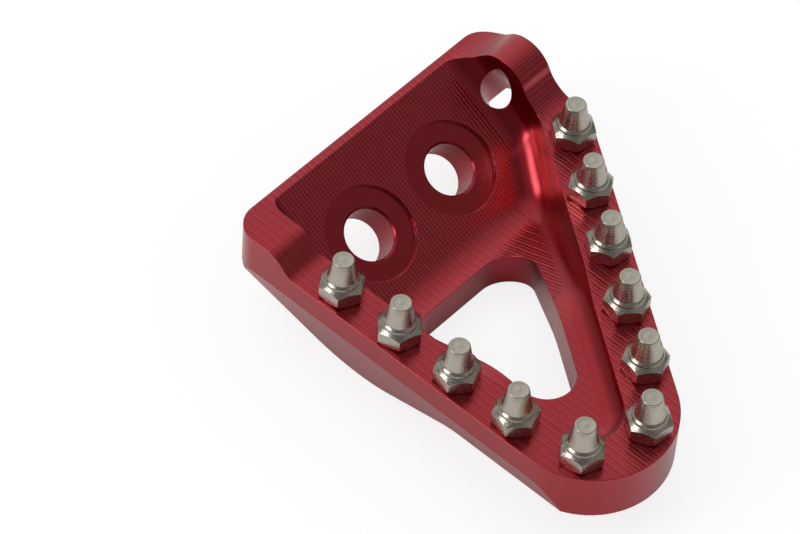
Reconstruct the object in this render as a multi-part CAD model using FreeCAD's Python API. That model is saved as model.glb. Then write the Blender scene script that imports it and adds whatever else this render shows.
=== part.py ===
import FreeCAD, Part
import math
import os

Vec = FreeCAD.Vector

# All sizes are millimetres and degrees.
# X runs along the straight mounting edge, Y points to that edge, Z is the way the studs point.
# Sizes are taken from the first stud of the left rail, with the rail tops at height zero.

# studs, from the rail top upwards
left_row_x = -0.3
left_row_y = -0.13
left_row_end = 8.73          # along the row, from its last stud to the one round the nose
right_row_end = 8.656
hex_across = 5.0             # across the flats of the hexagon base
hex_height = 2.4
hex_top_land = 4.35          # round land left on top of the hexagon
hex_chamfer_angle = 30.0
cone_base_dia = 3.8
cone_top_dia = 2.55
stud_height = 5.9            # up to the flat top
shank_dia = 3.0
shank_length = 4.6
shank_clearance = 0.05       # all round the shank
stud_hole_extra = 0.7        # hole depth past the end of the shank
hex_turns_left = [32.0, 43.0, 20.0, 18.0]        # one stud each: how far its hexagon stands turned
hex_turns_right = [54.0, 30.0, 53.0, 19.0, 20.0]
hex_turn_nose_left = 39.0
hex_turn_nose_right = 54.0
nose_stud_angles = [213.1, 289.0]                # places of the last two studs round the nose

# outline seen from above
left_margin = 3.3            # from the zero point to the left side
right_row_angle = 35.6       # between the right rail and the left rail
right_row_offset = 32.06     # from the zero point, square to the right row
right_margin = 2.89          # from the right stud row to the right side
nose_margin = 3.33           # from the nose studs to the edge of the nose
right_row_start = 18.32      # first right stud, measured back along the row
mount_edge_y = 14.85
ear_side_x = 41.0
nose_radius = 10.5
left_corner_radius = 3.4
ear_corner_radius = 3.1
ear_bend_radius = 5.0

# tops of the rails, the plateau and the ear
plateau_height = 2.2
ramp_foot_y = 5.55
ramp_angle = 45.0
ramp_radius = 2.7
ear_dome_radius = 4.0
ear_dome_y = 7.45
ear_dome_z = 1.1
ear_blend_back = 5.5
ear_blend_front = 5.0

# recess between the rails
left_rail_width = 5.45
right_rail_width = 6.1
recess_nose_radius = 4.75
recess_bend_radius = 4.0
recess_fillet_left = 1.2     # at the foot of the left rail
recess_fillet_right = 3.2    # at the foot of the right rail and the ear
ear_width = 4.8
pad_tilt = 30.0              # mounting pad against the rail tops
land_width = 1.08            # flat land along the mounting edge
recess_overrun = 5.0         # how far the cutter runs past the mounting edge

# web under the recess
pad_thickness = 5.2
rise_angle = 22.0
rise_y = -15.9               # a point that the rising floor goes through
rise_z = -3.2
nose_floor_z = -1.7
bowl_radius = 6.0
crest_radius = 12.0
web_height = 4.9             # measured upright under the rising floor
nose_thickness = 6.7
belly_radius = 13.0
hollow_radius = 8.0

# slanting facet low on the left side
facet_top_z = -3.4
facet_slope = 0.3            # inward per millimetre of depth

# window
window_back_y = -6.05
window_left_back_x = 5.9
window_left_front_x = 4.65
window_left_run = 18.0       # length over which the left side of the window comes in
window_gap = 4.25            # from the right rail to the window, square to the rail
window_radius_left = 3.3
window_radius_right = 3.6
window_radius_nose = 3.65

# screw holes in the pad
screw_size = 6.0
screw_clearance = 0.5        # on the diameter
screw_spacing = 14.25
screw_first_x = 10.5
screw_y = 5.05
spotface_dia = 12.0
spotface_depth = 0.45
hole_chamfer = 0.25

# cable hole in the ear, and the slot it comes out in
cable_hole_dia = 4.0
cable_hole_x = 36.6          # where its axis goes through the pad surface
cable_hole_y = 7.45
cable_hole_lean = 29.0
slot_x = 34.4                # end of the slot, the other end is open
slot_y = 10.15               # side of the slot towards the mounting edge
slot_width = 5.4
slot_depth = 2.6             # from the mounting face

far = 80.0                   # long enough to reach past the part

sin = lambda a: math.sin(math.radians(a))
cos = lambda a: math.cos(math.radians(a))
tan = lambda a: math.tan(math.radians(a))

# directions worked out from the angles
row_dir = Vec(sin(right_row_angle), cos(right_row_angle), 0)      # back along the right rail
row_out = Vec(cos(right_row_angle), -sin(right_row_angle), 0)     # out of the right side
pad_up = Vec(0, -sin(pad_tilt), cos(pad_tilt))
pad_along = Vec(0, cos(pad_tilt), sin(pad_tilt))


def meet(p, d, q, e):
    """Point where two lines in a plane meet, each given by a point and a direction."""
    t = ((q[0] - p[0]) * e[1] - (q[1] - p[1]) * e[0]) / (d[0] * e[1] - d[1] * e[0])
    return (p[0] + t * d[0], p[1] + t * d[1])


def rounded_edges(points, radii, place):
    """Closed chain of lines and tangent arcs through flat points, put in space by place."""
    edges = []
    ends = []
    count = len(points)
    for i in range(count):
        p = Vec(points[i][0], points[i][1], 0)
        before = (Vec(*points[i - 1], 0) - p).normalize()
        after = (Vec(*points[(i + 1) % count], 0) - p).normalize()
        r = radii[i]
        if r == 0:
            ends.append((p, p))
            continue
        half = before.getAngle(after) / 2
        reach = r / math.tan(half)
        centre = p + (before + after).normalize() * (r / math.sin(half))
        middle = centre + (p - centre).normalize() * r
        a, b = p + before * reach, p + after * reach
        ends.append((a, b))
        edges.append((i, Part.Arc(place(a), place(middle), place(b)).toShape()))
    arcs = dict(edges)
    chain = []
    for i in range(count):
        if i in arcs:
            chain.append(arcs[i])
        a, b = ends[i][1], ends[(i + 1) % count][0]
        if (a - b).Length > 1e-6:
            chain.append(Part.LineSegment(place(a), place(b)).toShape())
    return chain


def prism(edges, along):
    return Part.Face(Part.Wire(Part.__sortEdges__(edges))).extrude(along)


def upright(points, radii, low=-30.0, high=30.0):
    """Flat outline seen from above, pulled up from low to high."""
    return prism(rounded_edges(points, radii, lambda v: Vec(v.x, v.y, low)), Vec(0, 0, high - low))


def sideways(points, radii, x_from=-20.0, x_to=60.0):
    """Side profile of Y and Z, pulled along X."""
    return prism(rounded_edges(points, radii, lambda v: Vec(x_from, v.x, v.y)), Vec(x_to - x_from, 0, 0))


def row_point(out):
    """A point at the given distance from the first left stud, square to the right rail."""
    return (row_out.x * out, row_out.y * out)


def outline():
    """The whole plate seen from above."""
    side = row_point(right_row_offset + right_margin)
    nose = meet((-left_margin, 0), (0, 1), side, (row_dir.x, row_dir.y))
    bend = meet((ear_side_x, 0), (0, 1), side, (row_dir.x, row_dir.y))
    points = [(-left_margin, mount_edge_y), nose, bend, (ear_side_x, mount_edge_y)]
    return upright(points, [left_corner_radius, nose_radius, ear_bend_radius, ear_corner_radius])


def pad_height(y):
    """Height of the pad surface at a distance along Y."""
    return plateau_height + tan(pad_tilt) * (y - (mount_edge_y - land_width))


def floor_profile(drop_pad, drop_rise, nose_z, low_radius, high_radius, close_z):
    """Bent floor line: tilted pad, bowl, rising part and flat nose, closed at close_z."""
    pad = (mount_edge_y, pad_height(mount_edge_y) - drop_pad)
    rise = (rise_y, rise_z - drop_rise)
    rise_dir = (-cos(rise_angle), sin(rise_angle))
    bowl = meet(pad, (cos(pad_tilt), sin(pad_tilt)), rise, rise_dir)
    crest = meet(rise, rise_dir, (0, nose_z), (1, 0))
    back = (far / 2, pad[1] + tan(pad_tilt) * (far / 2 - pad[0]))
    points = [back, bowl, crest, (-far, nose_z), (-far, close_z), (far / 2, close_z)]
    return sideways(points, [0, low_radius, high_radius, 0, 0, 0])


def underside():
    """Everything below the plate."""
    return floor_profile(pad_thickness / cos(pad_tilt), web_height, -nose_thickness,
                         belly_radius, hollow_radius, -far)


def left_top():
    """Everything above the left rail, its ramp and the plateau."""
    ramp_head_y = ramp_foot_y + plateau_height / tan(ramp_angle)
    points = [(far, plateau_height), (ramp_head_y, plateau_height), (ramp_foot_y, 0),
              (-far, 0), (-far, far), (far, far)]
    return sideways(points, [0, ramp_radius, ramp_radius, 0, 0, 0], -20.0, 20.0)


def dome_blend(base_z, radius, side):
    """Centre of the hollow arc between a flat and the dome, and where it touches the dome."""
    rise = base_z + radius - ear_dome_z
    reach = math.sqrt((ear_dome_radius + radius) ** 2 - rise ** 2)
    centre = Vec(ear_dome_y + side * reach, base_z + radius, 0)
    dome = Vec(ear_dome_y, ear_dome_z, 0)
    return centre, dome + (centre - dome).normalize() * ear_dome_radius


def arc_about(centre, radius, start, end):
    """Arc between two points round a centre, the short way."""
    middle = centre + ((start + end) * 0.5 - centre).normalize() * radius
    return start, middle, end


def right_top():
    """Everything above the right rail and the humped ear."""
    back_c, back_t = dome_blend(plateau_height, ear_blend_back, 1)
    front_c, front_t = dome_blend(0, ear_blend_front, -1)
    back_flat = Vec(back_c.x, plateau_height, 0)
    front_flat = Vec(front_c.x, 0, 0)
    dome = Vec(ear_dome_y, ear_dome_z, 0)
    dome_top = dome + Vec(0, ear_dome_radius, 0)
    place = lambda v: Vec(20.0, v.x, v.y)
    edges = []
    for arc in (arc_about(back_c, ear_blend_back, back_flat, back_t), (back_t, dome_top, front_t),
                arc_about(front_c, ear_blend_front, front_t, front_flat)):
        edges.append(Part.Arc(*[place(v) for v in arc]).toShape())
    corners = [front_flat, Vec(-far, 0, 0), Vec(-far, far, 0), Vec(far, far, 0),
               Vec(far, plateau_height, 0), back_flat]
    for a, b in zip(corners, corners[1:]):
        edges.append(Part.LineSegment(place(a), place(b)).toShape())
    return prism(edges, Vec(40.0, 0, 0))


def facet():
    """Material taken off low on the left side."""
    depth = 20.0
    points = [(-left_margin, facet_top_z), (-left_margin + facet_slope * depth, facet_top_z - depth),
              (-left_margin - depth, facet_top_z - depth), (-left_margin - depth, facet_top_z)]
    edges = rounded_edges(points, [0, 0, 0, 0], lambda v: Vec(v.x, -far, v.y))
    return prism(edges, Vec(0, 2 * far, 0))


def recess():
    """The hollow between the rails, with a round corner all along its foot."""
    left = left_rail_width - left_margin
    right = row_point(right_row_offset + right_margin - right_rail_width)
    wall = ear_side_x - ear_width
    line = (row_dir.x, row_dir.y)
    nose = meet((left, 0), (0, 1), right, line)
    bend = meet((wall, 0), (0, 1), right, line)
    end = mount_edge_y + recess_overrun
    points = [(left, end), nose, bend, (wall, end)]
    radii = [0, recess_nose_radius, recess_bend_radius, 0]
    body = upright(points, radii, -25.0, 25.0)
    body = body.common(floor_profile(0, 0, nose_floor_z, bowl_radius, crest_radius, far))
    return filleted(body, foot_edges(body), left)


def filleted(body, edges, left):
    """Round the edges, with the smaller radius where they lie at the left wall."""
    def radius(edge, at):
        on_left = abs(edge.valueAt(at).x - left) < 0.001
        return recess_fillet_left if on_left else recess_fillet_right

    doc = FreeCAD.newDocument()
    base = doc.addObject("Part::Feature", "base")
    base.Shape = body
    fillet = doc.addObject("Part::Fillet", "fillet")
    fillet.Base = base
    numbers = [i + 1 for i, e in enumerate(body.Edges) if any(e.isSame(f) for f in edges)]
    spans = [(n, body.Edges[n - 1]) for n in numbers]
    fillet.Edges = [(n, radius(e, e.FirstParameter), radius(e, e.LastParameter)) for n, e in spans]
    doc.recompute()
    return fillet.Shape


def foot_edges(body):
    """Edges between the floor and the side walls of the recess cutter."""
    found = []
    walls = [f for f in body.Faces if is_wall(f)]
    floors = [f for f in body.Faces if not is_wall(f) and f.BoundBox.ZMin < far / 2]
    for edge in body.Edges:
        near_wall = any(any(edge.isSame(e) for e in f.Edges) for f in walls)
        near_floor = any(any(edge.isSame(e) for e in f.Edges) for f in floors)
        if near_wall and near_floor:
            found.append(edge)
    return found


def is_wall(face):
    u0, u1, v0, v1 = face.ParameterRange
    return abs(face.normalAt((u0 + u1) / 2, (v0 + v1) / 2).z) < 0.01


def window():
    """The opening through the web."""
    line = (row_dir.x, row_dir.y)
    right = row_point(right_row_offset + right_margin - right_rail_width - window_gap)
    left_back = (window_left_back_x, window_back_y)
    left_dir = (window_left_front_x - window_left_back_x, -window_left_run)
    corner = meet(left_back, (1, 0), right, line)
    nose = meet(left_back, left_dir, right, line)
    return upright([left_back, nose, corner],
                   [window_radius_left, window_radius_nose, window_radius_right], -25.0, 25.0)


def screw_seats():
    """Centres of the two screw seats on the spotfaces."""
    height = pad_height(screw_y) - spotface_depth / cos(pad_tilt)
    return [Vec(screw_first_x + i * screw_spacing, screw_y, height) for i in range(2)]


def screw_cut(seat):
    """Clearance hole, spotface and the small chamfers at both ends of the hole."""
    radius = (screw_size + screw_clearance) / 2
    through = pad_thickness - spotface_depth
    hole = Part.makeCylinder(radius, 30.0, seat - pad_up * 15.0, pad_up)
    face = Part.makeCylinder(spotface_dia / 2, 10.0, seat, pad_up)
    top = Part.makeCone(radius, radius + 2 * hole_chamfer, 2 * hole_chamfer, seat - pad_up * hole_chamfer, pad_up)
    foot = seat - pad_up * (through - hole_chamfer)
    bottom = Part.makeCone(radius, radius + 2 * hole_chamfer, 2 * hole_chamfer, foot, pad_up * -1)
    return hole.fuse([face, top, bottom])


def cable_cut():
    """Leaning hole for a safety cable."""
    up = Vec(-sin(cable_hole_lean), 0, cos(cable_hole_lean))
    at = Vec(cable_hole_x, cable_hole_y, pad_height(cable_hole_y))
    return Part.makeCylinder(cable_hole_dia / 2, 30.0, at - up * 10.0, up)


def slot_cut():
    """Slot under the ear, square to the pad and open to the outer side."""
    corner = Vec(slot_x, slot_y, pad_height(slot_y) - pad_thickness / cos(pad_tilt))
    top = corner + pad_up * slot_depth
    low = corner - pad_up * 10.0
    across = pad_along * -slot_width
    ring = [top, low, low + across, top + across, top]
    return Part.Face(Part.makePolygon(ring)).extrude(Vec(far, 0, 0))


def nose_centre():
    """Centre of the round nose."""
    side = row_point(right_row_offset + right_margin - nose_radius)
    x, y = meet((nose_radius - left_margin, 0), (0, 1), side, (row_dir.x, row_dir.y))
    return Vec(x, y, 0)


def nose_studs():
    """Feet of the two studs round the nose, left and right."""
    reach = nose_radius - nose_margin
    return [nose_centre() + Vec(cos(angle), sin(angle), 0) * reach for angle in nose_stud_angles]


def straight_row(first, last, turns):
    """Foot and turn of every stud of a row, spaced evenly from the first to the last."""
    step = (last - first) * (1.0 / (len(turns) - 1))
    return [(first + step * i, turn) for i, turn in enumerate(turns)]


def stud_places():
    """Side, foot and turn of every stud."""
    nose_left, nose_right = nose_studs()
    left_first = Vec(left_row_x, left_row_y, 0)
    left_last = Vec(left_row_x, nose_left.y + left_row_end, 0)
    foot = row_out * right_row_offset
    right_first = foot + row_dir * right_row_start
    right_last = foot + row_dir * (nose_right.dot(row_dir) + right_row_end)
    places = []
    for side, row in (("left", straight_row(left_first, left_last, hex_turns_left)),
                      ("right", straight_row(right_first, right_last, hex_turns_right)),
                      ("left", [(nose_left, hex_turn_nose_left)]),
                      ("right", [(nose_right, hex_turn_nose_right)])):
        places += [(side, at, turn) for at, turn in row]
    return places


def hexagon(across, height, base, turn):
    radius = across / 2 / cos(30)
    ring = [base + Vec(radius * cos(turn + 60 * k), radius * sin(turn + 60 * k), 0) for k in range(6)]
    return Part.Face(Part.makePolygon(ring + ring[:1])).extrude(Vec(0, 0, height))


def turned(points, base):
    """Solid turned about an upright axis from radius and height pairs."""
    wire = Part.makePolygon([Vec(r, 0, z) for r, z in points + points[:1]])
    body = Part.Face(wire).revolve(Vec(0, 0, 0), Vec(0, 0, 1), 360)
    body.translate(base)
    return body


def stud(base, turn):
    """One cone stud with its hexagon and shank."""
    corner = hex_across / 2 / cos(30) + 0.2
    edge_z = hex_height - (corner - hex_top_land / 2) * tan(hex_chamfer_angle)
    envelope = [(0, 0), (corner, 0), (corner, edge_z), (hex_top_land / 2, hex_height), (0, hex_height)]
    foot = hexagon(hex_across, hex_height, base, turn).common(turned(envelope, base))
    cone = Part.makeCone(cone_base_dia / 2, cone_top_dia / 2, stud_height - hex_height,
                         base + Vec(0, 0, hex_height))
    shank = Part.makeCylinder(shank_dia / 2, shank_length, base - Vec(0, 0, shank_length))
    return foot.fuse([cone, shank]).removeSplitter()


def stud_hole(base):
    depth = shank_length + stud_hole_extra
    return Part.makeCylinder(shank_dia / 2 + shank_clearance, depth + 1.0, base - Vec(0, 0, depth))


def plate():
    body = outline().cut(underside())
    body = body.cut(left_top()).cut(right_top()).cut(facet())
    body = body.cut(recess()).cut(window())
    for seat in screw_seats():
        body = body.cut(screw_cut(seat))
    body = body.cut(cable_cut()).cut(slot_cut())
    for _, base, _ in stud_places():
        body = body.cut(stud_hole(base))
    return body.removeSplitter()


def origin_point():
    """Middle of the mounting face under the pad, between the two screw holes."""
    seats = screw_seats()
    return (seats[0] + seats[1]) * 0.5 - pad_up * (pad_thickness - spotface_depth)


def main():
    os.makedirs("parts", exist_ok=True)
    move = origin_point() * -1
    tip = plate()
    tip.translate(move)
    tip.exportStep("parts/tip_plate.step")
    numbers = {"left": 0, "right": 0}
    for side, base, turn in stud_places():
        numbers[side] += 1
        body = stud(base, turn)
        body.translate(move)
        body.exportStep("parts/stud_%s_%d.step" % (side, numbers[side]))


main()
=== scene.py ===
"""Looks for the brake pedal tip: red anodised plate, steel cone studs, pale studio."""

import math

import bpy
from mathutils import Matrix, Vector


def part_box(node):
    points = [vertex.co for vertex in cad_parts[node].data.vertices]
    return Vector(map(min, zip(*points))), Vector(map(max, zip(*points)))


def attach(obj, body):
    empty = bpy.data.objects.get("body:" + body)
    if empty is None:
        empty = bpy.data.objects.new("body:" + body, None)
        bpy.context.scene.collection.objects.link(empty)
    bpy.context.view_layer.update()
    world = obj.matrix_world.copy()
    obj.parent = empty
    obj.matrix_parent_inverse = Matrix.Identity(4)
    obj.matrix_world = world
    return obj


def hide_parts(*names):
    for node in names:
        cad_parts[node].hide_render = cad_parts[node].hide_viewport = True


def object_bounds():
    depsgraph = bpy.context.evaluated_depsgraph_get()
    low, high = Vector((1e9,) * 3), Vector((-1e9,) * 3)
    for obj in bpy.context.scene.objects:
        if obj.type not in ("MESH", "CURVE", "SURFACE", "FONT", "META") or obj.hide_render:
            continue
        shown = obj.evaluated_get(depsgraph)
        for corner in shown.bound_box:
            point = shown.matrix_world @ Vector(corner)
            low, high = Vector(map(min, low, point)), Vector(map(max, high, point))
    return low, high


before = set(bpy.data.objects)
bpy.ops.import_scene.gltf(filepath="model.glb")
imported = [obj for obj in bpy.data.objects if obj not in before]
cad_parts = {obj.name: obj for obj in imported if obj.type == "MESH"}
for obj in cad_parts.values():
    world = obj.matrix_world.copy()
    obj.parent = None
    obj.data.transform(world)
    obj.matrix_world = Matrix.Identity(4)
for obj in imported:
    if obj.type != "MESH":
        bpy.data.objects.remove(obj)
cad_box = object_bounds()

MM = 0.001

# Camera, from the angle of the photograph
CAMERA_PLACE = Vector((-281.0, -225.4, 434.6)) * MM
CAMERA_RIGHT = Vector((0.6703, -0.7404, 0.0512))
CAMERA_UP = Vector((0.5553, 0.5461, 0.6272))
CAMERA_BACK = Vector((-0.4923, -0.3920, 0.7772))
CAMERA_LENS = 211.0
CAMERA_SENSOR = 36.0
CAMERA_NEAREST = 0.01
CAMERA_FARTHEST = 20.0

# Forms of the plate that the milling marks follow, in millimetres
PAD_TILT = math.radians(30.0)
PAD_UP = (0.0, -math.sin(PAD_TILT), math.cos(PAD_TILT))
PAD_ALONG = (0.0, math.cos(PAD_TILT), math.sin(PAD_TILT))
RAIL_TOP = 7.47
LEFT_INNER_X = -15.4
EAR_INNER_X = 18.5
SPOTFACE_RADIUS = 6.0
SPOTFACE_SPACING = 14.25
BORDER = 0.1                 # over which the marks of one form give way to the next

# Cosines of the normal between which the marks of a form come in
PAD_FACING = (0.985, 0.995)
UP_FACING = (0.3, 0.5)
SIDE_FACING = (0.04, 0.12)   # here they go out instead
FACET_LEFT_FACING = (0.9, 0.95)
FACET_DOWN_FACING = (0.2, 0.27)

# Pitches of the marks in millimetres
RIB_PITCH = 0.5
COARSE_RIB_PITCH = 1.0
PAD_ROW_PITCH = 0.418
SPOTFACE_RING_PITCH = 0.3
EAR_LINE_PITCH = 0.3
FACET_CUT_PITCH = 0.8

# Forms of the marks
RIB_WANDER = 0.25            # how far ribs stray from straight lines, in millimetres
COARSE_RIB_SHARE = 0.4
PAD_ROW_DEPTH = 0.35
EAR_LINE_LEAN = 0.35
EAR_LINE_HEIGHT = 0.7

# Strength of the marks, from 0 to 1
RECESS_MARKS = 0.5
LEFT_RAIL_MARKS = 0.5
RIGHT_RAIL_MARKS = 0.75
PAD_MARKS = 1.0
SPOTFACE_MARKS = 0.07
FACET_MARKS = 0.8

# Noises: scale per millimetre, and detail
WANDER_NOISE = (0.5, 2.0)
RED_GRAIN = (9.0, 3.0)
RED_CLOUD = (0.3, 3.0)
STEEL_GRAIN = (5.0, 4.0)
STEEL_PITS = (2.2, 5.0)

# Red anodised metal under a clear layer
RED_DEEP = (0.43, 0.001, 0.011, 1)
RED_PALE = (0.5, 0.002, 0.017, 1)
# Lighter pink on the milling marks: the marks are real, their lighter colour is painted highlight
RED_MARK_HIGHLIGHT = (0.7, 0.075, 0.1, 1)
# Brighter red along the edges: painted highlight where the chamfers catch the light
RED_EDGE_HIGHLIGHT = (0.95, 0.07, 0.08, 1)
RED_MARK_HIGHLIGHT_SHARE = 0.4
RED_EDGE_HIGHLIGHT_SHARE = 0.5
RED_EDGE_RADIUS = 0.17
RED_BUMP_DEPTH = 0.025
RED_BUMP_STRENGTH = 0.8
RED_GRAIN_HEIGHT = 0.5
RED_ROUGHNESS = 0.27
RED_GRAIN_ROUGHNESS = 0.08
COAT_ROUGHNESS = 0.16
COAT_IOR = 1.5

# Turned steel
STEEL_DEEP = (0.53, 0.49, 0.41, 1)
STEEL_PALE = (0.74, 0.69, 0.59, 1)
# Paler steel along the edges: painted highlight
STEEL_EDGE_HIGHLIGHT = (0.86, 0.82, 0.72, 1)
STEEL_EDGE_HIGHLIGHT_SHARE = 0.5
STEEL_EDGE_RADIUS = 0.07
STEEL_BUMP_DEPTH = 0.02
STEEL_BUMP_STRENGTH = 0.6
STEEL_PIT_HEIGHT = 3.5
STEEL_RING_HEIGHT = 0.7
STEEL_RING_PITCH = 0.21
STEEL_RING_LEAN = 0.8
STEEL_RING_BORDER = 0.3      # below the hexagon's top, over which the rings come in
STEEL_GRAIN_HEIGHT = 0.4
STEEL_ROUGHNESS = 0.17
STEEL_GRAIN_ROUGHNESS = 0.16

# Bends of the softened normal between which an edge comes in
EDGE_BEND = (0.02, 0.25)
EDGE_SAMPLES = 8

# Studs: radii, and heights from the rail top, in millimetres
SHANK_LENGTH = 4.6
SHANK_RADIUS = 1.5
SHANK_CHAMFER = 0.25
HEX_HALF = 2.5
HEX_HEIGHT = 2.4
HEX_FOOT_LAND = 2.36
HEX_TOP_LAND = 2.17
HEX_SLOPE = math.tan(math.radians(40.0))
COLLAR = ((2.07, 2.4), (2.11, 2.46), (2.125, 2.55), (2.1, 2.66), (2.03, 2.75), (1.94, 2.81),
          (1.86, 2.87), (1.8, 2.95))
CONE_FOOT = (1.765, 3.07)
CONE_TOP = (1.275, 5.9)
STUD_SEGMENTS = 96
STUD_SHARP_ANGLE = math.radians(32.0)

# End of the cone, with heights from its top: rounded rim, with radii from its top too, and small raised pip
CONE_RIM = ((0.02, -0.12), (-0.02, -0.05), (-0.06, -0.015), (-0.13, 0.0), (-0.2, 0.0), (-0.26, -0.02))
CONE_PIP = ((0.2, -0.03), (0.13, -0.01))
CONE_MIDDLE = -0.005

# Soft light round the object: direction, cosines between which it comes in, strength
SKY_BASE = 0.145
SKY = (
    ((0.42, 0.50, 0.76), 0.62, 0.97, 0.47),
    ((0.35, 0.90, 0.25), 0.5, 0.95, 0.27),
    ((0.42, -0.60, 0.68), 0.7, 0.95, 0.12),
    ((-0.40, 0.30, 0.86), 0.82, 0.97, 0.2),
    ((-0.74, 0.40, 0.53), 0.955, 0.985, 4.3),
)

# Lamp above the floor, and the floor, in metres and watts
FILL_POWER = 5.0
FILL_SIZE = 2.0
FILL_HEIGHT = 0.7
FLOOR_HALF = 3.0
FLOOR_COLOUR = (0.92, 0.92, 0.92, 1)
FLOOR_GLOW_SHARE = 0.7       # how much white is mixed into what the camera sees of the floor
FLOOR_GLOW = 1.16


class Nodes:
    """Short calls for building a node material."""

    def __init__(self, tree):
        self.tree = tree
        self.links = tree.links

    def add(self, kind, **values):
        node = self.tree.nodes.new(kind)
        for key, value in values.items():
            setattr(node, key, value)
        return node

    def feed(self, socket, value):
        if isinstance(value, bpy.types.NodeSocket):
            self.links.new(value, socket)
        elif value is not None:
            socket.default_value = value

    def math(self, operation, a, b=None):
        node = self.add("ShaderNodeMath", operation=operation)
        for socket, value in zip(node.inputs, (a, b)):
            self.feed(socket, value)
        return node.outputs[0]

    def opposite(self, value):
        """1 where the value is 0, and 0 where it is 1."""
        return self.math("SUBTRACT", 1.0, value)

    def distance(self, a, b):
        """How far from the middle a point is whose two parts are a and b."""
        return self.math("SQRT", self.math("ADD", self.math("MULTIPLY", a, a), self.math("MULTIPLY", b, b)))

    def dot(self, a, b):
        node = self.add("ShaderNodeVectorMath", operation="DOT_PRODUCT")
        self.feed(node.inputs[0], a)
        self.feed(node.inputs[1], b)
        return node.outputs["Value"]

    def split(self, vector):
        node = self.add("ShaderNodeSeparateXYZ")
        self.feed(node.inputs[0], vector)
        return node.outputs

    def step(self, value, low, high):
        """0 below low, 1 above high, soft between."""
        node = self.add("ShaderNodeMapRange", interpolation_type="SMOOTHSTEP")
        self.feed(node.inputs["Value"], value)
        self.feed(node.inputs["From Min"], low)
        self.feed(node.inputs["From Max"], high)
        return node.outputs["Result"]

    def blend(self, kind, factor, a, b):
        node = self.add("ShaderNodeMix", data_type=kind)
        self.feed(node.inputs["Factor"], factor)
        self.feed(node.inputs["A"], a)
        self.feed(node.inputs["B"], b)
        return node.outputs["Result"]

    def mix(self, factor, a, b):
        """Colour a where the factor is 0, and b where it is 1."""
        return self.blend("RGBA", factor, a, b)

    def lerp(self, factor, a, b):
        """Number a where the factor is 0, and b where it is 1."""
        return self.blend("FLOAT", factor, a, b)

    def noise(self, vector, scale, detail):
        node = self.add("ShaderNodeTexNoise")
        self.feed(node.inputs["Vector"], vector)
        node.inputs["Scale"].default_value = scale
        node.inputs["Detail"].default_value = detail
        return node.outputs["Fac"]

    def wave(self, distance, pitch):
        """Ridges of the given pitch along a distance, from -1 to 1."""
        return self.math("SINE", self.math("MULTIPLY", distance, 2 * math.pi / pitch))


class Place:
    """The point on the part in millimetres, its three parts, and the normal there."""

    def __init__(self, kit):
        coords = kit.add("ShaderNodeTexCoord")
        scale = kit.add("ShaderNodeVectorMath", operation="SCALE")
        kit.feed(scale.inputs[0], coords.outputs["Object"])
        scale.inputs["Scale"].default_value = 1 / MM
        self.point = scale.outputs["Vector"]
        self.x, self.y, self.z = kit.split(self.point)
        self.normal = coords.outputs["Normal"]


def new_metal(name):
    """A metal material, with the short calls for its tree, and its shader."""
    material = bpy.data.materials.new(name)
    material.use_nodes = True
    tree = material.node_tree
    tree.nodes.clear()
    kit = Nodes(tree)
    shader = kit.add("ShaderNodeBsdfPrincipled")
    shader.inputs["Metallic"].default_value = 1.0
    output = kit.add("ShaderNodeOutputMaterial")
    tree.links.new(shader.outputs["BSDF"], output.inputs["Surface"])
    return material, kit, shader


def pad_grid(kit, across, along):
    """Ribs square to the mounting edge, crossed by fainter ones."""
    m = kit.math
    ribs = m("ADD", m("MULTIPLY", kit.wave(across, RIB_PITCH), 0.5), 0.5)
    rows = m("ADD", m("MULTIPLY", kit.wave(along, PAD_ROW_PITCH), PAD_ROW_DEPTH), 1 - PAD_ROW_DEPTH)
    return m("SUBTRACT", m("MULTIPLY", m("MULTIPLY", ribs, rows), 2.0), 1.0)


def rail_ribs(kit, across):
    """Fine ribs along the rails' own length, with coarse ones among them."""
    m = kit.math
    coarse = m("MULTIPLY", kit.wave(across, COARSE_RIB_PITCH), COARSE_RIB_SHARE)
    return m("ADD", m("MULTIPLY", kit.wave(across, RIB_PITCH), 1 - COARSE_RIB_SHARE), coarse)


def ear_lines(kit, here):
    """Lines along the mounting edge, over the hump of the ear."""
    m = kit.math
    way = m("SUBTRACT", here.y, m("MULTIPLY", here.z, EAR_LINE_LEAN))
    return m("MULTIPLY", kit.wave(way, EAR_LINE_PITCH), EAR_LINE_HEIGHT)


def facet_cuts(kit, here):
    """Slanting cuts on the facet low on the left side."""
    m = kit.math
    way = m("SUBTRACT", here.y, m("MULTIPLY", here.z, math.tan(PAD_TILT)))
    return kit.wave(way, FACET_CUT_PITCH)


def plate_forms(kit, here, away):
    """Where each form of the plate is, from 0 to 1."""
    m = kit.math
    nx, _, nz = kit.split(here.normal)
    tilted = kit.step(kit.dot(here.normal, PAD_UP), *PAD_FACING)
    between = m("MULTIPLY", m("GREATER_THAN", here.x, LEFT_INNER_X), m("LESS_THAN", here.x, EAR_INNER_X))
    pad = m("MULTIPLY", tilted, between)
    past_spotface = kit.step(away, SPOTFACE_RADIUS - BORDER / 2, SPOTFACE_RADIUS)
    beside_ear = kit.step(here.x, EAR_INNER_X - BORDER, EAR_INNER_X)
    over_rail = kit.step(here.z, RAIL_TOP + BORDER / 2, RAIL_TOP + 3 * BORDER)
    left = kit.step(m("MULTIPLY", nx, -1.0), *FACET_LEFT_FACING)
    down = kit.step(m("MULTIPLY", nz, -1.0), *FACET_DOWN_FACING)
    sideways = kit.step(m("ABSOLUTE", nx), *SIDE_FACING)
    return {
        "pad": pad,
        "spotface": m("MULTIPLY", pad, kit.opposite(past_spotface)),
        "left_rail": kit.opposite(kit.step(here.x, LEFT_INNER_X, LEFT_INNER_X + BORDER)),
        "rails": kit.step(here.z, RAIL_TOP - 3 * BORDER, RAIL_TOP - BORDER),
        "ear": m("MULTIPLY", beside_ear, over_rail),
        "facet": m("MULTIPLY", down, left),
        "tops": m("MULTIPLY", kit.opposite(sideways), kit.step(nz, *UP_FACING)),
    }


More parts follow.
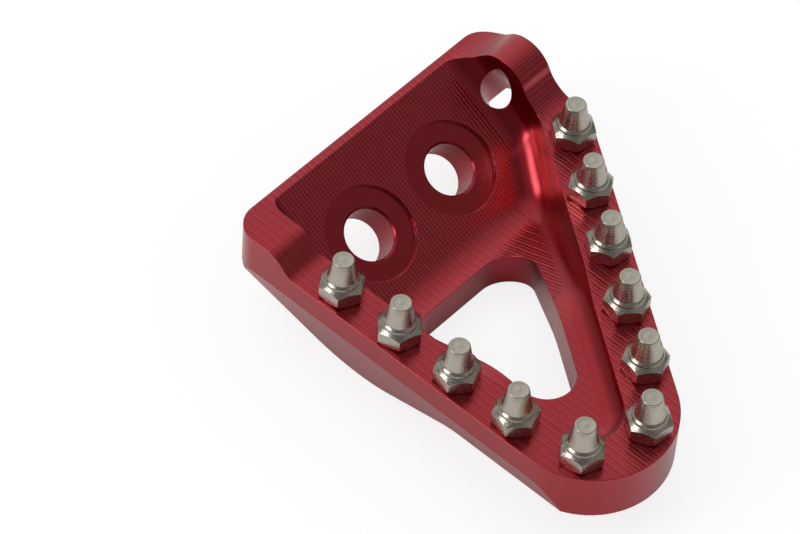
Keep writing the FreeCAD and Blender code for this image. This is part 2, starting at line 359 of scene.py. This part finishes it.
def plate_marks(kit, here):
    """Height of the milling marks, from -1 to 1, and how strong they are."""
    along = kit.dot(here.point, PAD_ALONG)
    side = kit.math("SUBTRACT", kit.math("ABSOLUTE", here.x), SPOTFACE_SPACING / 2)
    away = kit.distance(side, along)
    forms = plate_forms(kit, here, away)
    wander = kit.math("MULTIPLY", kit.noise(here.point, *WANDER_NOISE), RIB_WANDER)
    across = kit.math("ADD", here.x, wander)

    mark = kit.lerp(forms["ear"], rail_ribs(kit, across), ear_lines(kit, here))
    mark = kit.lerp(forms["pad"], mark, pad_grid(kit, across, along))
    mark = kit.lerp(forms["spotface"], mark, kit.wave(away, SPOTFACE_RING_PITCH))
    mark = kit.lerp(forms["facet"], mark, facet_cuts(kit, here))

    on_rails = kit.lerp(forms["left_rail"], RIGHT_RAIL_MARKS, LEFT_RAIL_MARKS)
    strength = kit.lerp(forms["rails"], RECESS_MARKS, on_rails)
    strength = kit.lerp(forms["pad"], strength, PAD_MARKS)
    strength = kit.lerp(forms["spotface"], strength, SPOTFACE_MARKS)
    strength = kit.math("MULTIPLY", strength, forms["tops"])
    return mark, kit.lerp(forms["facet"], strength, FACET_MARKS)


def soft_normal_and_edge_highlight(kit, radius):
    """A softened normal, and where edges are, from 0 to 1, which places the painted edge highlight."""
    bevel = kit.add("ShaderNodeBevel", samples=EDGE_SAMPLES)
    bevel.inputs["Radius"].default_value = radius * MM
    geometry = kit.add("ShaderNodeNewGeometry")
    bend = kit.opposite(kit.dot(bevel.outputs["Normal"], geometry.outputs["Normal"]))
    return bevel.outputs["Normal"], kit.step(bend, *EDGE_BEND)


def bumped(kit, height, normal, depth, strength):
    """The normal bent by a height, whose unit is the depth in millimetres."""
    bump = kit.add("ShaderNodeBump")
    bump.inputs["Strength"].default_value = strength
    bump.inputs["Distance"].default_value = depth * MM
    kit.feed(bump.inputs["Height"], height)
    kit.feed(bump.inputs["Normal"], normal)
    return bump.outputs["Normal"]


def anodised_plate():
    """Red metal with milling marks, and painted highlights on the marks' ridges and along the edges, under
    a sharper clear layer.
    """
    material, kit, shader = new_metal("red_anodised")
    m = kit.math
    here = Place(kit)
    mark, strength = plate_marks(kit, here)
    fine = kit.noise(here.point, *RED_GRAIN)
    cloud = kit.noise(here.point, *RED_CLOUD)
    soft_normal, edge = soft_normal_and_edge_highlight(kit, RED_EDGE_RADIUS)

    ridge_highlight = m("MULTIPLY", m("ADD", mark, 1.0), strength)
    base = kit.mix(cloud, RED_DEEP, RED_PALE)
    # Painted highlight on the ridges of the milling marks
    base = kit.mix(m("MULTIPLY", ridge_highlight, RED_MARK_HIGHLIGHT_SHARE), base, RED_MARK_HIGHLIGHT)
    # Painted highlight along the edges
    base = kit.mix(m("MULTIPLY", edge, RED_EDGE_HIGHLIGHT_SHARE), base, RED_EDGE_HIGHLIGHT)
    roughness = m("ADD", RED_ROUGHNESS, m("MULTIPLY", fine, RED_GRAIN_ROUGHNESS))
    height = m("ADD", m("MULTIPLY", mark, strength), m("MULTIPLY", fine, RED_GRAIN_HEIGHT))
    bump = bumped(kit, height, soft_normal, RED_BUMP_DEPTH, RED_BUMP_STRENGTH)

    kit.feed(shader.inputs["Base Color"], base)
    kit.feed(shader.inputs["Roughness"], roughness)
    kit.feed(shader.inputs["Normal"], bump)
    shader.inputs["Coat Weight"].default_value = 1.0
    shader.inputs["Coat Roughness"].default_value = COAT_ROUGHNESS
    shader.inputs["Coat IOR"].default_value = COAT_IOR
    kit.feed(shader.inputs["Coat Normal"], bump)
    return material


def steel_height(kit, here, centre, foot, grain):
    """Shallow pits on the hexagon, fine turned rings from its top up, and grain on both."""
    m = kit.math
    dx = m("SUBTRACT", here.x, centre.x / MM)
    dy = m("SUBTRACT", here.y, centre.y / MM)
    way = m("ADD", here.z, m("MULTIPLY", kit.distance(dx, dy), STEEL_RING_LEAN))
    rings = m("MULTIPLY", kit.wave(way, STEEL_RING_PITCH), STEEL_RING_HEIGHT)
    pits = m("MULTIPLY", kit.noise(here.point, *STEEL_PITS), STEEL_PIT_HEIGHT)
    hex_top = foot / MM + HEX_HEIGHT
    turned = kit.step(here.z, hex_top - STEEL_RING_BORDER, hex_top)
    return m("ADD", kit.lerp(turned, pits, rings), m("MULTIPLY", grain, STEEL_GRAIN_HEIGHT))


def turned_steel(name, centre, foot):
    """Plain steel with a painted highlight along its edges, for the stud that stands there."""
    material, kit, shader = new_metal(name)
    m = kit.math
    here = Place(kit)
    grain = kit.noise(here.point, *STEEL_GRAIN)
    soft_normal, edge = soft_normal_and_edge_highlight(kit, STEEL_EDGE_RADIUS)

    tone = kit.mix(grain, STEEL_DEEP, STEEL_PALE)
    # Painted highlight along the edges
    tone = kit.mix(m("MULTIPLY", edge, STEEL_EDGE_HIGHLIGHT_SHARE), tone, STEEL_EDGE_HIGHLIGHT)
    roughness = m("ADD", STEEL_ROUGHNESS, m("MULTIPLY", grain, STEEL_GRAIN_ROUGHNESS))
    height = steel_height(kit, here, centre, foot, grain)
    bump = bumped(kit, height, soft_normal, STEEL_BUMP_DEPTH, STEEL_BUMP_STRENGTH)

    kit.feed(shader.inputs["Base Color"], tone)
    kit.feed(shader.inputs["Roughness"], roughness)
    kit.feed(shader.inputs["Normal"], bump)
    return material


def stud_profile(side):
    """Radius and height of each ring, from the shank up, where the hexagon's side is that far out."""
    shank = [(SHANK_RADIUS - SHANK_CHAMFER, -SHANK_LENGTH), (SHANK_RADIUS, SHANK_CHAMFER - SHANK_LENGTH),
             (SHANK_RADIUS, 0.0)]
    low_z = (side - HEX_FOOT_LAND) * HEX_SLOPE
    high_z = HEX_HEIGHT - (side - HEX_TOP_LAND) * HEX_SLOPE
    hexagon = [(HEX_FOOT_LAND, 0.0), (side, low_z), (side, high_z), (HEX_TOP_LAND, HEX_HEIGHT)]
    wide, wide_z = CONE_FOOT
    slim, slim_z = CONE_TOP
    cone = [CONE_FOOT, ((wide + slim) / 2, (wide_z + slim_z) / 2)]
    rim = [(slim + r, slim_z + z) for r, z in CONE_RIM]
    pip = [(r, slim_z + z) for r, z in CONE_PIP]
    return shank + hexagon + list(COLLAR) + cone + rim + pip


def stud_columns(turn):
    """The rings' points in millimetres, one column of them for each step round the stud."""
    step = 2 * math.pi / STUD_SEGMENTS
    sixth = math.pi / 3
    columns = []
    for i in range(STUD_SEGMENTS):
        side = HEX_HALF / math.cos((i * step) % sixth - sixth / 2)
        angle = turn + i * step
        columns.append([(r * math.cos(angle), r * math.sin(angle), z) for r, z in stud_profile(side)])
    return columns


def stud_faces(rings, under, over):
    """Faces between neighbouring columns, closed by a fan below and one above."""
    faces = []
    for i in range(STUD_SEGMENTS):
        a = i * rings
        b = (i + 1) % STUD_SEGMENTS * rings
        faces += [(a + k, b + k, b + k + 1, a + k + 1) for k in range(rings - 1)]
        faces += [(under, b, a), (a + rings - 1, b + rings - 1, over)]
    return faces


def stud_mesh(name, centre, foot, turn):
    """One stud with its shank, chamfered hexagon, collar and cone."""
    columns = stud_columns(turn)
    points = [point for column in columns for point in column]
    faces = stud_faces(len(columns[0]), len(points), len(points) + 1)
    points += [(0.0, 0.0, -SHANK_LENGTH), (0.0, 0.0, CONE_TOP[1] + CONE_MIDDLE)]
    placed = [(centre.x + x * MM, centre.y + y * MM, foot + z * MM) for x, y, z in points]
    mesh = bpy.data.meshes.new(name)
    mesh.from_pydata(placed, [], faces)
    mesh.shade_smooth()
    mesh.set_sharp_from_angle(angle=STUD_SHARP_ANGLE)
    return mesh


def stud(node_name):
    """A detailed stud where the frame has a plain one, with its hexagon turned the same way."""
    low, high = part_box(node_name)
    centre = (low + high) / 2
    foot = low.z + SHANK_LENGTH * MM
    corners = [v.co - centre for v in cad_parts[node_name].data.vertices]
    widest = max(corners, key=lambda v: v.x * v.x + v.y * v.y)
    turn = math.atan2(widest.y, widest.x)
    name = "turned_" + node_name
    piece = bpy.data.objects.new(name, stud_mesh(name, centre, foot, turn))
    piece.data.materials.append(turned_steel("steel_" + node_name, centre, foot))
    bpy.context.scene.collection.objects.link(piece)
    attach(piece, "root")
    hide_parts(node_name)


def dress():
    """Give the plate its material, and put a finer stud in the place of each plain one."""
    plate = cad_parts["tip_plate"]
    plate.data.materials.clear()
    plate.data.materials.append(anodised_plate())
    for name in sorted(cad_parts):
        if name.startswith("stud_"):
            stud(name)


def pale_floor():
    """A plain pale surface, which the camera sees mixed with white."""
    material = bpy.data.materials.new("pale_floor")
    material.use_nodes = True
    tree = material.node_tree
    tree.nodes.clear()
    kit = Nodes(tree)
    diffuse = kit.add("ShaderNodeBsdfDiffuse")
    diffuse.inputs["Color"].default_value = FLOOR_COLOUR
    glow = kit.add("ShaderNodeEmission")
    glow.inputs["Strength"].default_value = FLOOR_GLOW
    path = kit.add("ShaderNodeLightPath")
    mix = kit.add("ShaderNodeMixShader")
    kit.feed(mix.inputs[0], kit.math("MULTIPLY", path.outputs["Is Camera Ray"], FLOOR_GLOW_SHARE))
    kit.feed(mix.inputs[1], diffuse.outputs[0])
    kit.feed(mix.inputs[2], glow.outputs[0])
    output = kit.add("ShaderNodeOutputMaterial")
    kit.feed(output.inputs["Surface"], mix.outputs[0])
    return material


def floor(level):
    half = FLOOR_HALF
    corners = [(-half, -half, level), (half, -half, level), (half, half, level), (-half, half, level)]
    mesh = bpy.data.meshes.new("floor")
    mesh.from_pydata(corners, [], [(0, 1, 2, 3)])
    ground = bpy.data.objects.new("floor", mesh)
    bpy.context.scene.collection.objects.link(ground)
    ground.data.materials.append(pale_floor())


def sky():
    """A dim room with soft patches of light, which is plain where the camera sees it straight."""
    world = bpy.data.worlds.new("studio")
    bpy.context.scene.world = world
    world.use_nodes = True
    tree = world.node_tree
    tree.nodes.clear()
    kit = Nodes(tree)
    way = kit.add("ShaderNodeTexCoord").outputs["Generated"]
    level = SKY_BASE
    for direction, low, high, strength in SKY:
        soft = kit.step(kit.dot(way, Vector(direction).normalized()), low, high)
        level = kit.math("ADD", level, kit.math("MULTIPLY", soft, strength))
    path = kit.add("ShaderNodeLightPath")
    background = kit.add("ShaderNodeBackground")
    kit.feed(background.inputs["Strength"], kit.lerp(path.outputs["Is Camera Ray"], level, 1.0))
    output = kit.add("ShaderNodeOutputWorld")
    kit.feed(output.inputs["Surface"], background.outputs[0])


def fill_lamp():
    """A wide lamp straight above, which lights the floor and isn't seen in the metal."""
    light = bpy.data.lights.new("floor_fill", "AREA")
    light.size = FILL_SIZE
    light.energy = FILL_POWER
    fill = bpy.data.objects.new("floor_fill", light)
    fill.location = (0.0, 0.0, FILL_HEIGHT)
    fill.visible_glossy = False
    bpy.context.scene.collection.objects.link(fill)


def camera():
    data = bpy.data.cameras.new("camera")
    data.lens = CAMERA_LENS
    data.sensor_width = CAMERA_SENSOR
    data.clip_start = CAMERA_NEAREST
    data.clip_end = CAMERA_FARTHEST
    view = bpy.data.objects.new("camera", data)
    turn = Matrix((CAMERA_RIGHT, CAMERA_UP, CAMERA_BACK)).transposed().to_4x4()
    view.matrix_world = Matrix.Translation(CAMERA_PLACE) @ turn
    bpy.context.scene.collection.objects.link(view)
    bpy.context.scene.camera = view


dress()
floor(cad_box[0][2])
sky()
fill_lamp()
camera()
bpy.context.scene.view_settings.view_transform = "Standard"
